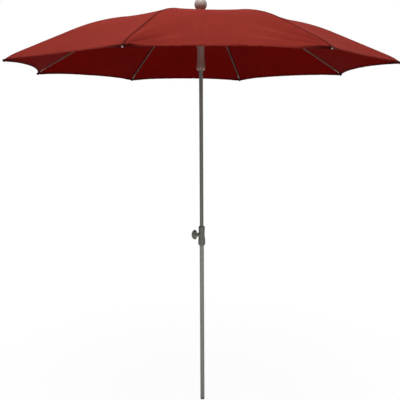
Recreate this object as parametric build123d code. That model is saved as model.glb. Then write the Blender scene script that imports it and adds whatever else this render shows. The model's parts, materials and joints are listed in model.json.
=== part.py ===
"""Patio umbrella without a base: a two-part clamped pole, a sliding runner, eight hinged ribs
with their stretchers, and a fabric canopy in eight panels. Millimetres, +Z up, origin at the
centre of the pole's foot."""
import os
from math import cos, radians, sin, tan

from build123d import *

os.makedirs("parts", exist_ok=True)

# ---------------------------------------------------------------- driving dimensions
running_gap = 0.3            # between pieces that pass each other
shaft_clearance = 0.06       # radial, at every hinge pin
overcut = 1.0                # how far a cutting tool runs past the face it opens

rib_count = 8
first_rib_angle = -16.2      # azimuth of rib 1 from +X
tip_radius = 900.0           # tip ball centres, from the pole's axis
tip_ball_drop = 10.5         # tip ball centres, below the line of the ribs' top edges

lower_tube_radius = 11.0
lower_tube_wall = 1.2
lower_tube_length = 888.0
swage_depth = 0.3            # how far the tube's top end is drawn in to seat in the collar
foot_plug_length = 30.0
foot_plug_floor = 4.0
foot_plug_wall = 1.8

upper_tube_radius = 9.5
upper_tube_wall = 1.0
mast_overlap = 308.0         # upper tube inside the lower one, as shown
guide_rim_height = 8.0
guide_clearance = 0.1
guide_spigot_length = 20.0

collar_length = 101.0
collar_socket_depth = 46.0
collar_foot_radius = 13.0
collar_skirt_radius = 18.5
collar_waist_radius = 15.2
collar_shoulder_radius = 16.2
collar_crest_radius = 12.6
collar_skirt_height = 14.0   # heights are measured up from the collar's foot
collar_shoulder_height = 90.0
screw_height = 56.0

screw_radius = 4.0
boss_radius = 10.4
boss_flare = 4.0             # how far the boss widens where it meets the collar
boss_reach = 22.0            # boss face, from the pole's axis
insert_radius = 6.5
insert_length = 5.2
shoe_radius = 5.7
shoe_thickness = 3.0
screw_release = 2.5          # how far the screw backs off
knob_radius = 24.3
knob_depth = 29.1
knob_rim_height = 12.4       # widest part of the knob, above its stem's face
knob_stem_radius = 10.0
knob_stem_length = 2.2
knob_back_radius = 15.5      # where the flat back ends and the rim's curve begins
knob_flute_count = 6
knob_flute_radius = 12.0
knob_flute_depth = 2.4
knob_socket_depth = 15.0

pin_radius = 1.25
crown_pivot_radius = 20.0
crown_pivot_height = 1971.6
crown_radius = 24.5
crown_top_rise = 4.4         # top face above the rib pivots
crown_disc_depth = 7.0       # disc below the rib pivots
crown_hub_radius = 15.3
crown_hub_length = 22.0
crown_core_depth = 10.0      # solid top above the tube's end
pin_seat = 3.0               # pin end held in each crown tooth

stud_radius = 4.0
stud_seat = 8.0              # stud held in the crown
ball_radius = 30.0
ball_seat_rise = 4.8         # ball's lowest point above the patch, inside the collar
stud_in_ball = 22.0
finial_collar_radius = 21.0
finial_collar_height = 7.0
finial_collar_round = 1.5

rib_width = 5.0
rib_depth = 6.0
rib_wall = 0.7
rib_pivot_depth = 4.0        # pins below the rib's top face
rib_inner_slope = 7.97       # degrees below the horizontal
rib_outer_slope = 24.4
rib_bend_station = 496.5     # where the two straight runs would meet, from the pole's axis
rib_bend_radius = 920.0
stretcher_pivot_station = 435.0
rib_end_setback = 32.0       # rib's end short of the tip ball's centre

tip_ball_radius = 4.8
tip_arm_radius = 2.3
tip_tongue_length = 16.0
tip_shoulder_length = 3.0

stretcher_thickness = 2.8
stretcher_height = 4.8
rivet_radius = 1.25
rivet_head_radius = 2.2
rivet_head_height = 0.6

runner_pivot_radius = 24.6
runner_pivot_drop = 133.6    # stretchers' inner pins below the ribs' pins
runner_hub_radius = 28.0
runner_hub_rise = 8.0        # hub above and below the stretcher pins
runner_hub_drop = 6.0
runner_spigot_wall = 2.8
runner_gap_below_hub = 4.0
runner_flange_radius = 21.3
runner_flange_height = 9.0
runner_flange_bevel = 1.5
runner_shoulder_radius = 18.3  # just under the flange
runner_waist_radius = 17.0
runner_waist_height = 75.0   # this and the next heights are measured up from the runner's foot
runner_taper_radius = 18.2
runner_taper_height = 44.0
runner_rim_radius = 20.8
runner_rim_height = 12.0
runner_foot_radius = 17.4
runner_length = 122.4        # hub's underside to the foot

catch_width = 3.0
catch_nose = 3.0
catch_nose_height = 14.0
catch_leg_length = 46.0
catch_thickness = 1.0

canopy_thickness = 1.2
canopy_lift = 1.3            # fabric above the ribs, clear of their top edges
canopy_seam_gap = 0.15       # each panel's edge short of the seam's plane
canopy_sag_at_bend = 5.0     # mid-panel fabric below a straight line from rib to rib
canopy_sag_at_hem = 23.0
canopy_corner_drop = 7.8     # fabric drawn down to each tip ball, past the rib's end
canopy_corner_setback = 7.0  # fabric's corner short of the ball's centre
hem_rise = 40.0              # how far the hem curves in between two tips
canopy_inner_gap = 0.6       # panels clear of the crown and the patch on it

# ---------------------------------------------------------------- derived places
lower_bore = lower_tube_radius - lower_tube_wall
collar_base = lower_tube_length - collar_socket_depth
upper_tube_base = lower_tube_length - mast_overlap
upper_bore = upper_tube_radius - upper_tube_wall
crown_top = crown_pivot_height + crown_top_rise
runner_pivot_height = crown_pivot_height - runner_pivot_drop
upper_tube_top = crown_top - crown_core_depth
slide_bore = upper_tube_radius + running_gap
notch_width = rib_width + 2 * running_gap
inner_slope = radians(rib_inner_slope)
outer_slope = radians(rib_outer_slope)
rib_angle_step = 360 / rib_count
half_panel = rib_angle_step / 2


def save(shape, name):
    export_step(shape, f"parts/{name}.step")


def turned(points):
    """A solid of revolution about Z from an outline of (radius, height) corners."""
    outline = Polyline(*[(r, 0, z) for r, z in points], close=True)
    return revolve(make_face(outline), Axis.Z)


def rod(radius, length, place=(0, 0, 0), axis=(0, 0, 1)):
    return extrude(Plane(place, z_dir=axis) * Circle(radius), length)


def at_rib(shape, index):
    """A shape made in the plane of +X, turned to the azimuth of one rib."""
    return Rot(Z=first_rib_angle + index * rib_angle_step) * shape


# ---------------------------------------------------------------- the line of a rib
# The rib's top face, in the XZ plane: a straight run from the crown, a long arc, a straight run.
pivot_top = Vector(crown_pivot_radius, crown_pivot_height)
pivot_top += Vector(sin(inner_slope), cos(inner_slope)) * rib_pivot_depth
bend_corner = Vector(rib_bend_station,
                     pivot_top.Y - (rib_bend_station - pivot_top.X) * tan(inner_slope))
bend_tangent = rib_bend_radius * tan((outer_slope - inner_slope) / 2)


def rib_line(depth, start, end):
    """Edges of a line `depth` below the rib's top face, from one station to the other."""
    inner_dir = Vector(cos(inner_slope), -sin(inner_slope))
    outer_dir = Vector(cos(outer_slope), -sin(outer_slope))
    inner_down = Vector(-sin(inner_slope), -cos(inner_slope)) * depth
    outer_down = Vector(-sin(outer_slope), -cos(outer_slope)) * depth
    arc_start = bend_corner - inner_dir * bend_tangent
    arc_end = bend_corner + outer_dir * bend_tangent
    mid_slope = (inner_slope + outer_slope) / 2
    centre = arc_start + Vector(-sin(inner_slope), -cos(inner_slope)) * rib_bend_radius
    arc_mid = centre + Vector(sin(mid_slope), cos(mid_slope)) * (rib_bend_radius - depth)
    first = bend_corner - inner_dir * ((rib_bend_station - start) / cos(inner_slope))
    last = bend_corner + outer_dir * ((end - rib_bend_station) / cos(outer_slope))
    corners = [first + inner_down, arc_start + inner_down, arc_mid,
               arc_end + outer_down, last + outer_down]
    return [(p.X, 0, p.Y) for p in corners]


def rib_band(top, bottom, start, end, width):
    """The rib's line as a bar, from `top` to `bottom` below its top face."""
    upper = rib_line(top, start, end)
    lower = rib_line(bottom, start, end)
    face = make_face([
        Line(upper[0], upper[1]), ThreePointArc(*upper[1:4]), Line(upper[3], upper[4]),
        Line(upper[4], lower[4]), Line(lower[4], lower[3]), ThreePointArc(*lower[3:0:-1]),
        Line(lower[1], lower[0]), Line(lower[0], upper[0]),
    ])
    return extrude(face, width / 2, both=True)


def bend_point(station, depth):
    """A point `depth` below the top face, on the rib's arc."""
    arc_start = bend_corner - Vector(cos(inner_slope), -sin(inner_slope)) * bend_tangent
    centre = arc_start + Vector(-sin(inner_slope), -cos(inner_slope)) * rib_bend_radius
    lean = (station - centre.X) / (rib_bend_radius - depth)
    return Vector(station, centre.Y + (rib_bend_radius - depth) * (1 - lean ** 2) ** 0.5)


crown_pivot = Vector(crown_pivot_radius, crown_pivot_height)
stretcher_pivot = bend_point(stretcher_pivot_station, rib_pivot_depth)
runner_pivot = Vector(runner_pivot_radius, runner_pivot_height)
rib_end_station = tip_radius - rib_end_setback
tip_ball_centre = Vector(
    tip_radius, rib_line(0, crown_pivot_radius, tip_radius)[-1][2] - tip_ball_drop)

# ---------------------------------------------------------------- lower pole
def lower_tube():
    body = rod(lower_tube_radius, collar_base)
    body += rod(lower_tube_radius - swage_depth, collar_socket_depth, (0, 0, collar_base))
    return body - rod(lower_bore, lower_tube_length)


def foot_plug():
    plug = chamfer(rod(lower_bore, foot_plug_length).edges().group_by(Axis.Z)[-1], 1)
    return plug - rod(lower_bore - foot_plug_wall, foot_plug_length, (0, 0, foot_plug_floor))


def clamp_collar():
    foot = (collar_foot_radius, 0, 0)
    skirt = (collar_skirt_radius, 0, collar_skirt_height)
    waist = (collar_waist_radius, 0, screw_height)
    shoulder = (collar_shoulder_radius, 0, collar_shoulder_height)
    crest = (collar_crest_radius, 0, collar_length)
    side = [
        ThreePointArc(foot, ((foot[0] + skirt[0]) / 2 + 1, 0, collar_skirt_height * 0.4), skirt),
        Spline(skirt, waist, shoulder, tangents=[(0, 0, 1), (0.02, 0, 1)]),
        ThreePointArc(shoulder, (shoulder[0] - 0.6, 0, (shoulder[2] + crest[2]) / 2 + 1), crest),
        Polyline(crest, (0, 0, collar_length), (0, 0, 0), foot),
    ]
    body = Pos(Z=collar_base) * revolve(make_face(side), Axis.Z)
    screw_level = collar_base + screw_height
    root = collar_waist_radius - boss_flare / 2
    neck = root + boss_flare
    boss = [
        Polyline((neck, 0, boss_radius), (boss_reach - 1, 0, boss_radius),
                 (boss_reach, 0, boss_radius - 1), (boss_reach, 0, 0), (0, 0, 0),
                 (0, 0, boss_radius), (root, 0, boss_radius + boss_flare)),
        ThreePointArc((root, 0, boss_radius + boss_flare),
                      (neck - 0.7 * boss_flare, 0, boss_radius + 0.3 * boss_flare),
                      (neck, 0, boss_radius)),
    ]
    body += Pos(Z=screw_level) * mirror(revolve(make_face(boss), Axis.X), Plane.YZ)
    body -= rod(slide_bore, collar_length, (0, 0, collar_base))
    body -= rod(lower_tube_radius - swage_depth, collar_socket_depth, (0, 0, collar_base))
    pocket_reach = slide_bore + shoe_thickness + screw_release + running_gap
    body -= rod(shoe_radius + running_gap, pocket_reach, (0, 0, screw_level), (-1, 0, 0))
    body -= rod(insert_radius, boss_reach, (0, 0, screw_level), (-1, 0, 0)) - rod(
        insert_radius, boss_reach - insert_length, (0, 0, screw_level), (-1, 0, 0))
    return body - rod(screw_radius + running_gap, boss_reach, (0, 0, screw_level), (-1, 0, 0))


def clamp_insert():
    level = collar_base + screw_height
    body = rod(insert_radius, insert_length, (insert_length - boss_reach, 0, level), (-1, 0, 0))
    bore = screw_radius + shaft_clearance
    return body - rod(bore, boss_reach, (0, 0, level), (-1, 0, 0))


# ---------------------------------------------------------------- clamp screw and knob
def clamp_shoe():
    level = collar_base + screw_height
    reach = slide_bore + shoe_thickness
    body = rod(shoe_radius, reach, (0, 0, level), (-1, 0, 0))
    return body - rod(slide_bore, 4 * shoe_radius, (0, 0, level - 2 * shoe_radius))


screw_tip = slide_bore + shoe_thickness + running_gap
knob_face = boss_reach + 2 * running_gap


def clamp_screw():
    level = collar_base + screw_height
    length = knob_face + knob_socket_depth - screw_tip
    body = rod(screw_radius, length, (-screw_tip, 0, level), (-1, 0, 0))
    return chamfer(body.edges().group_by(Axis.X)[-1], 0.8)


def clamp_knob():
    """A domed round knob on a short stem, with finger flutes round its rim."""
    back = knob_stem_length
    bulge = (knob_radius - knob_back_radius) * sin(radians(45))
    rise = (knob_rim_height - back) * (1 - cos(radians(45)))
    dome_rise = (knob_depth - knob_rim_height) * cos(radians(45))
    side = [
        Polyline((0, 0, 0), (knob_stem_radius, 0, 0), (knob_stem_radius, 0, back / 2),
                 (knob_stem_radius + back / 2, 0, back), (knob_back_radius, 0, back)),
        Spline((knob_back_radius, 0, back), (knob_back_radius + bulge, 0, back + rise),
               (knob_radius, 0, knob_rim_height), tangents=[(1, 0, 0), (0, 0, 1)]),
        Spline((knob_radius, 0, knob_rim_height),
               (knob_radius * sin(radians(45)), 0, knob_rim_height + dome_rise),
               (0, 0, knob_depth), tangents=[(0, 0, 1), (-1, 0, 0)]),
        Line((0, 0, knob_depth), (0, 0, 0)),
    ]
    body = revolve(make_face(side), Axis.Z)
    flute = rod(knob_flute_radius, knob_depth, (0, 0, 0))
    offset = knob_radius + knob_flute_radius - knob_flute_depth
    body -= [loc * flute for loc in PolarLocations(offset, knob_flute_count)]
    body -= rod(screw_radius, knob_socket_depth)
    level = collar_base + screw_height
    return Plane((-knob_face, 0, level), z_dir=(-1, 0, 0)) * body


# ---------------------------------------------------------------- upper pole
def upper_tube():
    length = upper_tube_top - upper_tube_base
    body = rod(upper_tube_radius, length, (0, 0, upper_tube_base))
    body -= rod(upper_bore, length, (0, 0, upper_tube_base))
    slot = Pos(0, upper_tube_radius, catch_level) * Box(
        catch_width + 2 * running_gap, 4 * upper_tube_wall, catch_nose_height + 4 * running_gap)
    return body - slot


def tube_guide():
    rim_base = upper_tube_base - guide_rim_height
    rim = rod(lower_bore - guide_clearance, guide_rim_height, (0, 0, rim_base))
    spigot = rod(upper_bore, guide_spigot_length, (0, 0, upper_tube_base))
    return chamfer(rim.edges().group_by(Axis.Z)[0], 1) + spigot


def crown():
    disc_base = crown_pivot_height - crown_disc_depth
    hub_base = disc_base - crown_hub_length
    body = turned([(0, hub_base), (crown_hub_radius, hub_base), (crown_hub_radius, disc_base),
                   (crown_radius, disc_base), (crown_radius, crown_top), (0, crown_top)])
    body -= rod(upper_tube_radius, upper_tube_top - hub_base, (0, 0, hub_base))
    body -= rod(stud_radius, stud_seat, (0, 0, crown_top - stud_seat))
    reach = crown_radius - crown_hub_radius + overcut
    notch = Pos(crown_hub_radius + reach / 2, 0, crown_pivot_height) * Box(
        reach, notch_width, 2 * (crown_disc_depth + overcut))
    for index in range(rib_count):
        body -= at_rib(notch, index)
        body -= at_rib(crown_pin(), index)
    return body


def crown_pin():
    """One hinge pin, across a notch of the crown."""
    length = notch_width + 2 * pin_seat
    return rod(pin_radius, length, (crown_pivot_radius, -length / 2, crown_pivot_height), (0, 1, 0))


def crown_pins():
    return Compound([at_rib(crown_pin(), index) for index in range(rib_count)])


catch_top = runner_pivot_height - runner_hub_drop - runner_length - running_gap
catch_level = catch_top - catch_nose_height / 2


def catch_spring():
    """A hairpin leaf inside the tube, whose nose stands out under the runner."""
    reach = (upper_bore ** 2 - (catch_width / 2) ** 2) ** 0.5
    base = catch_top - catch_nose_height
    inner = reach - catch_thickness
    hairpin = Polyline(
        (0, reach, base), (0, reach, catch_top), (0, -reach, catch_top),
        (0, -reach, catch_top - catch_leg_length), (0, -inner, catch_top - catch_leg_length),
        (0, -inner, catch_top - catch_thickness), (0, inner, catch_top - catch_thickness),
        (0, inner, base), close=True)
    nose = Polyline((0, reach, base), (0, upper_tube_radius + catch_nose, catch_top),
                    (0, reach, catch_top), close=True)
    leaf = extrude(make_face(hairpin), catch_width / 2, both=True)
    return leaf + extrude(make_face(nose), catch_width / 2, both=True)


# ---------------------------------------------------------------- finial
patch_top = crown_top + canopy_thickness
ball_base = patch_top + ball_seat_rise
ball_centre = Pos(Z=ball_base + ball_radius)


def canopy_patch():
    ring = rod(crown_radius, canopy_thickness, (0, 0, crown_top))
    return ring - rod(stud_radius, canopy_thickness, (0, 0, crown_top))


def finial_stud():
    length = ball_base + stud_in_ball - crown_top + stud_seat
    return rod(stud_radius, length, (0, 0, crown_top - stud_seat))


def finial_ball():
    ball = ball_centre * Sphere(ball_radius)
    return ball - rod(stud_radius, stud_in_ball, (0, 0, ball_base))


def finial_collar():
    body = rod(finial_collar_radius, finial_collar_height, (0, 0, patch_top))
    body = fillet(body.edges().filter_by(GeomType.CIRCLE), finial_collar_round)
    body -= ball_centre * Sphere(ball_radius)
    return body - rod(stud_radius, finial_collar_height, (0, 0, patch_top))


# ---------------------------------------------------------------- runner
hub_base = runner_pivot_height - runner_hub_drop
hub_top = runner_pivot_height + runner_hub_rise
spigot_radius = slide_bore + runner_spigot_wall


def runner_sleeve():
    """A spool on the upper tube: rounded rim, slim waist, flange, and a spigot for the hub."""
    base = hub_base - runner_length
    flange_top = hub_base - runner_gap_below_hub
    flange_base = flange_top - runner_flange_height
    rim = (runner_rim_radius, 0, base + runner_rim_height)
    shoulder = (runner_shoulder_radius, 0, flange_base)
    rounding = (runner_rim_radius - runner_foot_radius) / 4
    side = [
        Line((0, 0, base), (runner_foot_radius, 0, base)),
        ThreePointArc((runner_foot_radius, 0, base),
                      (runner_rim_radius - rounding, 0, base + runner_rim_height / 2), rim),
        Spline(rim, (runner_taper_radius, 0, base + runner_taper_height),
               (runner_waist_radius, 0, base + runner_waist_height), shoulder,
               tangents=[(0, 0, 1), (0.05, 0, 1)]),
        Polyline(shoulder, (runner_flange_radius, 0, flange_base + runner_flange_bevel),
                 (runner_flange_radius, 0, flange_top), (spigot_radius, 0, flange_top),
                 (spigot_radius, 0, hub_top), (0, 0, hub_top), (0, 0, base)),
    ]
    return revolve(make_face(side), Axis.Z) - rod(slide_bore, hub_top - base, (0, 0, base))


def runner_hub():
    """The notched ring that takes the stretchers' ends."""
    flange_top = hub_base - runner_gap_below_hub
    floor = runner_pivot_radius - stretcher_height / 2 - running_gap
    body = turned([(spigot_radius, flange_top), (floor - 2, flange_top), (floor - 2, hub_base),
                   (runner_hub_radius, hub_base), (runner_hub_radius, hub_top),
                   (spigot_radius, hub_top)])
    reach = runner_hub_radius - floor + overcut
    notch = Pos(floor + reach / 2, 0, runner_pivot_height) * Box(
        reach, stretcher_thickness + 2 * running_gap, 2 * (runner_hub_rise + overcut))
    for index in range(rib_count):
        body -= at_rib(notch, index)
    return body


# ---------------------------------------------------------------- ribs
def hinge_pin(point, radius, width):
    return rod(radius, width, (point.X, -width / 2, point.Y), (0, 1, 0))


def rib():
    """A channel open underneath, rounded about its crown pin, bent down along its outer half."""
    body = rib_band(0, rib_depth, crown_pivot_radius, rib_end_station, rib_width)
    body += hinge_pin(crown_pivot, rib_pivot_depth, rib_width)
    inside = rib_width - 2 * rib_wall
    body -= rib_band(rib_wall, rib_depth + rib_pivot_depth, crown_pivot_radius - 2 * rib_depth,
                     rib_end_station + overcut, inside)
    body -= hinge_pin(crown_pivot, pin_radius + shaft_clearance, rib_width)
    return body - hinge_pin(stretcher_pivot, rivet_radius, rib_width)


def rib_rivet():
    shank = hinge_pin(stretcher_pivot, rivet_radius, rib_width)
    head = (stretcher_pivot.X, rib_width / 2, stretcher_pivot.Y)
    tail = (stretcher_pivot.X, -rib_width / 2, stretcher_pivot.Y)
    shank += rod(rivet_head_radius, rivet_head_height, head, (0, 1, 0))
    return shank + rod(rivet_head_radius, rivet_head_height, tail, (0, -1, 0))


def tip_cap():
    """A moulded tip: a tongue in the rib's end, a shoulder, and an arm down to its ball."""
    outward = Vector(cos(outer_slope), 0, -sin(outer_slope))
    mouth = Plane(Vector(*rib_line(rib_depth / 2, crown_pivot_radius, rib_end_station)[-1]),
                  x_dir=(0, 1, 0), z_dir=outward)
    shoulder = extrude(mouth * Rectangle(rib_width, rib_depth), tip_shoulder_length)
    tongue = mouth * (Pos(Y=-rib_wall / 2) * Rectangle(rib_width - 2 * rib_wall, rib_depth - rib_wall))
    cap = shoulder + extrude(tongue, -tip_tongue_length)
    start = mouth.origin + outward * (tip_shoulder_length / 2)
    ball = Vector(tip_ball_centre.X, 0, tip_ball_centre.Y)
    cap += rod(tip_arm_radius, (ball - start).length, start, ball - start)
    return cap + Pos(ball) * Sphere(tip_ball_radius)


# ---------------------------------------------------------------- stretchers
def stretcher():
    """A flat bar between its two eyes."""
    span = runner_pivot - stretcher_pivot
    middle = (runner_pivot + stretcher_pivot) / 2
    outline = SlotCenterToCenter(span.length, stretcher_height)
    plane = Plane((middle.X, 0, middle.Y), x_dir=(span.X, 0, span.Y), z_dir=(0, 1, 0))
    body = extrude(plane * outline, stretcher_thickness / 2, both=True)
    body -= hinge_pin(stretcher_pivot, rivet_radius + shaft_clearance, stretcher_thickness)
    return body - hinge_pin(runner_pivot, rivet_radius, stretcher_thickness)


# ---------------------------------------------------------------- canopy
def canopy_section(share):
    """The canopy cut by an upright plane, `share` of the way from a rib to the middle of a panel."""
    turn = half_panel * share
    spread = cos(radians(half_panel)) / cos(radians(half_panel - abs(turn)))
    slack = 1 - (1 - abs(share)) ** 2
    start = (crown_radius + canopy_inner_gap) / cos(radians(half_panel))
    drop = canopy_corner_drop * (1 - abs(share))

    def fabric_line(depth):
        line = []
        corners = rib_line(depth, start, rib_end_station) + rib_line(depth, start, tip_radius)[-1:]
        for x, _, z in corners:
            past_bend = max(0, x - rib_bend_station) / (tip_radius - rib_bend_station)
            sag = canopy_sag_at_bend * min(1, x / rib_bend_station)
            sag += (canopy_sag_at_hem - canopy_sag_at_bend) * past_bend
            line.append((x * spread, 0, z - slack * sag))
        x, _, z = line[-1]
        return line[:-1] + [(x, 0, z - drop)]

    upper = fabric_line(-canopy_lift - canopy_thickness)
    lower = fabric_line(-canopy_lift)
    face = make_face([
        Line(upper[0], upper[1]), ThreePointArc(*upper[1:4]), Polyline(*upper[3:], *lower[:2:-1]),
        ThreePointArc(*lower[3:0:-1]), Polyline(lower[1], lower[0], upper[0]),
    ])
    inward = -canopy_seam_gap * share
    return Pos(-inward * sin(radians(turn)), inward * cos(radians(turn))) * Rot(Z=turn) * face


def canopy_panel():
    """The fabric one rib carries, out to the middle of the spans on its two sides."""
    panel = loft([canopy_section(share) for share in (-1, -0.5, 0, 0.5, 1)], ruled=True)
    half_chord = tip_radius * sin(radians(half_panel))
    hem_radius = (half_chord ** 2 + hem_rise ** 2) / (2 * hem_rise)
    reach = tip_radius * cos(radians(half_panel)) - hem_rise + hem_radius
    for side in (-half_panel, half_panel):
        centre = (reach * cos(radians(side)), reach * sin(radians(side)), 0)
        panel -= rod(hem_radius, 2 * crown_top, centre)
    return panel - rod(canopy_corner_setback, 2 * crown_top, (tip_radius, 0, 0))


# ---------------------------------------------------------------- the files
single_pieces = (
    lower_tube, foot_plug, clamp_collar, clamp_insert, clamp_shoe, clamp_screw, clamp_knob,
    upper_tube, tube_guide, crown, crown_pins, catch_spring, canopy_patch, finial_stud,
    finial_ball, finial_collar, runner_sleeve, runner_hub,
)
rib_pieces = (rib, rib_rivet, tip_cap, stretcher, canopy_panel)

for piece in single_pieces:
    save(piece(), piece.__name__)
for piece in rib_pieces:
    shape = piece()
    for index in range(rib_count):
        save(at_rib(shape, index), f"{piece.__name__}_{index + 1}")
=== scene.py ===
"""A red patio umbrella of eight gores on a grey two-part pole, dressed over its CAD frame.
Metres, +Z up, the pole's axis on the Z axis. The camera looks along +Y."""
import json
import math

import bmesh
import bpy
import numpy as np
from mathutils import Matrix, Vector


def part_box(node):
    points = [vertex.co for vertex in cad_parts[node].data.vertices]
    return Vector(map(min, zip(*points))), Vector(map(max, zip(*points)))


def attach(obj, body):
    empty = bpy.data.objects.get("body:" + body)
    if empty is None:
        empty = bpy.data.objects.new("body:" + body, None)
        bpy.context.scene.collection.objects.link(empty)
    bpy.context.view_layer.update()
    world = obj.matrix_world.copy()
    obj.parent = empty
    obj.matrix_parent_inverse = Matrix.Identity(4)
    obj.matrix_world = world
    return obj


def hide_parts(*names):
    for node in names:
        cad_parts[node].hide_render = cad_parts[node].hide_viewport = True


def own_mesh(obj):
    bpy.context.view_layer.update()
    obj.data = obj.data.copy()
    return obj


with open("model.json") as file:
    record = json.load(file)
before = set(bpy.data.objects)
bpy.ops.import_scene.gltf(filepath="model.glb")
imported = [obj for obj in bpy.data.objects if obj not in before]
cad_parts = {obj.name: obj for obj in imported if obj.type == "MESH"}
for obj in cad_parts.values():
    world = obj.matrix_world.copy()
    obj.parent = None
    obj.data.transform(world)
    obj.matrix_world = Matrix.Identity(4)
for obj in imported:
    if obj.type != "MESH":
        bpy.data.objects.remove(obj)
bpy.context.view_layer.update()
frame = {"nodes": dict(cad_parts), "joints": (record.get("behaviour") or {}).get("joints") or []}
MM = 0.001

# ---------------------------------------------------------------- sizes read from the frame
joints = {joint["name"]: joint for joint in frame["joints"]}
RIBS = range(1, 9)
HALF_GORE = math.radians(22.5)
crown_pivot = Vector(joints["rib_hinge_1"]["pos_m"])
PIVOT_RADIUS = crown_pivot.xy.length
PIVOT_HEIGHT = crown_pivot.z
FIRST_RIB = math.atan2(crown_pivot.y, crown_pivot.x)
crown_low, crown_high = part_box("crown")
CROWN_RADIUS = (crown_high.x - crown_low.x) / 2
CROWN_TOP = crown_high.z
TIP_BALL_RADIUS = 4.8 * MM
TIP_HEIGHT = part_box("tip_cap_1")[0].z + TIP_BALL_RADIUS    # a tip ball's centre
TIP_RADIUS = 0.9               # from the pole's axis to that centre
TIP_LINE = TIP_RADIUS * math.cos(HALF_GORE)    # from the pole's axis to a line between two tips
TIP_SIDE = TIP_RADIUS * math.sin(HALF_GORE)    # and along that line from its middle to a tip
RIB_END_SETBACK = 0.032        # a rib's end, short of its tip ball's centre

# ---------------------------------------------------------------- the canopy's cut and set
RIB_DEPTH = 6 * MM
PIVOT_BELOW_RIB_TOP = 4 * MM
INNER_SLOPE = math.radians(7.97)       # how steeply a rib falls before and after its bend
OUTER_SLOPE = math.radians(24.4)
BEND_STATION = 0.4965          # where its two straight parts would meet, from the pole's axis
BEND_RADIUS = 0.92
CLOTH_RISE = 2.2 * MM          # outer face of the cloth above the rib's top edges
CLOTH_THICKNESS = 0.5 * MM
CLOTH_START = (CROWN_RADIUS + 0.6 * MM) / math.cos(HALF_GORE)
CORNER_SETBACK = -1 * MM       # the cloth's corner ends just past the tip ball's centre
CORNER_DROP = 8.5 * MM         # the cloth is drawn down to each tip ball by this much
CORNER_REACH = 60 * MM         # how far in from the ball the drop begins, along the rib
HEM_REACH = 130 * MM           # and how far in from the hem, away from the rib
PULL_POWER = (2.0, 2.6)        # how sharply the drop grows towards the hem, away from a rib and on it
SAG_AT_BEND = 5 * MM           # in the middle of a gore, below the line between two ribs
SAG_AT_HEM = 23 * MM
HEM_RISE = 40 * MM             # how far the hem curves in between two tips
HEM_WIDTH = 14 * MM
HEM_ROLL = 5 * MM              # the hem's outer edge hangs down over this width,
ROLL_DROP = (6.5 * MM, 2.6 * MM)   # by this much at a corner and half-way between two
ROLL_REACH = 75 * MM           # and the corner's share fades over this distance along the hem
SEAM_HALF_WIDTH = 6 * MM
SEAM_RISE = 0.5 * MM           # the felled seam's layers, above the plain cloth
GROOVE_DEPTH = 0.6 * MM        # along the middle of the seam
HEM_THICKENING = 0.2 * MM      # on the outer face
EXTRA_LAYERS = 0.7 * MM        # what seam and hem add to the cloth's thickness on the inner face
YARN_PITCH = 1.5 * MM          # as coarse as it must be to show; 0.5 mm in the real cloth
STITCH_PITCH = 4.5 * MM        # one stitch and its gap, drawn coarser than the real 3 mm
THREAD_RADIUS = 0.35 * MM
STITCH_SHARE = 0.72            # how much of the pitch the thread of a stitch takes
SLACK_GORE = 6                 # the gore that hangs slackest; gore 0 is the one after rib 1
# painted shade: how far the seam's groove, the doubled seam, the hem and its turned edge are darkened towards
# the cloth's shadow colour
GROOVE_SHADE, SEAM_SHADE, HEM_SHADE, TURNED_EDGE_SHADE = 0.95, 0.3, 0.15, 0.6
ROLL_SHADE = (1.0, 0.3)        # painted shade of the hem's rolled edge, at a corner and half-way between two,
ROLL_SHADE_REACH = 80 * MM     # fading over this distance from the rib
RIB_SHADE_EDGE = 9 * MM        # painted shade of the rib on the inner face: a dark strip over the doubled seam layers, to this distance from the rib
PUCKERS = 17                   # along the hem of a gore
FIRST_PUCKER = -310 * MM       # from the hem's middle
PUCKER_PITCH = 38 * MM
FOLD_SEED = 100                # the first of the random seeds of the corners' folds
PUCKER_SEED = 300              # and of the puckers'

# mesh columns over the felled seam, from the rib outwards; open ones go on to the gore's middle
SEAM_COLUMNS = np.array([0, 0.7, 1.4, 3.0, 5.5, 6.5, 9.0]) * MM
SEAM_ROOM = 30 * MM            # they crowd together where half a panel is narrower than this
OPEN_COLUMNS = 64
COLUMN_CROWDING = 1.2          # above 1 the columns stand closer together towards the seam,
OPEN_ROWS = 104
ROW_CROWDING = 1.4             # and the rows towards the hem
HEM_ROWS = np.array([15.0, 14.0, 13.0, 9.0, 6.0, 5.0, 4.0, 2.6, 1.3, 0]) * MM   # from the hem's edge


# ---------------------------------------------------------------- materials
MIX_FIRST, MIX_SECOND, MIX_RESULT = 6, 7, 2    # a Mix node's colour sockets, by their numbers
MIDDLE = {"From Min": 0.3, "From Max": 0.7}    # where most of a noise pattern's values lie


def linear(code):
    """An sRGB hex colour as linear red, green and blue, with an alpha of 1."""
    parts = [int(code[i:i + 2], 16) / 255 for i in (0, 2, 4)]
    return tuple(c / 12.92 if c <= 0.04045 else ((c + 0.055) / 1.055) ** 2.4 for c in parts) + (1.0,)


def add(tree, kind, inputs=None, **settings):
    """Adds a node with its settings. Each input is given a value, or a socket that is linked to it."""
    node = tree.nodes.new(kind)
    for name, value in settings.items():
        setattr(node, name, value)
    for name, value in (inputs or {}).items():
        if isinstance(value, bpy.types.NodeSocket):
            tree.links.new(value, node.inputs[name])
        else:
            node.inputs[name].default_value = value
    return node


def blank_material(name):
    material = bpy.data.materials.new(name)
    material.use_nodes = True
    material.node_tree.nodes.clear()
    return material, material.node_tree


def mottled(tree, place, size, colour, other):
    """Two colours that drift into each other in blotches about `size` metres across."""
    blotches = add(tree, "ShaderNodeTexNoise", {"Vector": place, "Scale": 1 / size, "Detail": 3.0})
    share = add(tree, "ShaderNodeMapRange", {"Value": blotches.outputs["Fac"], **MIDDLE})
    mixed = add(tree, "ShaderNodeMix", {"Factor": share.outputs["Result"], MIX_FIRST: linear(colour),
                                        MIX_SECOND: linear(other)}, data_type="RGBA")
    return mixed.outputs[MIX_RESULT]


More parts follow.
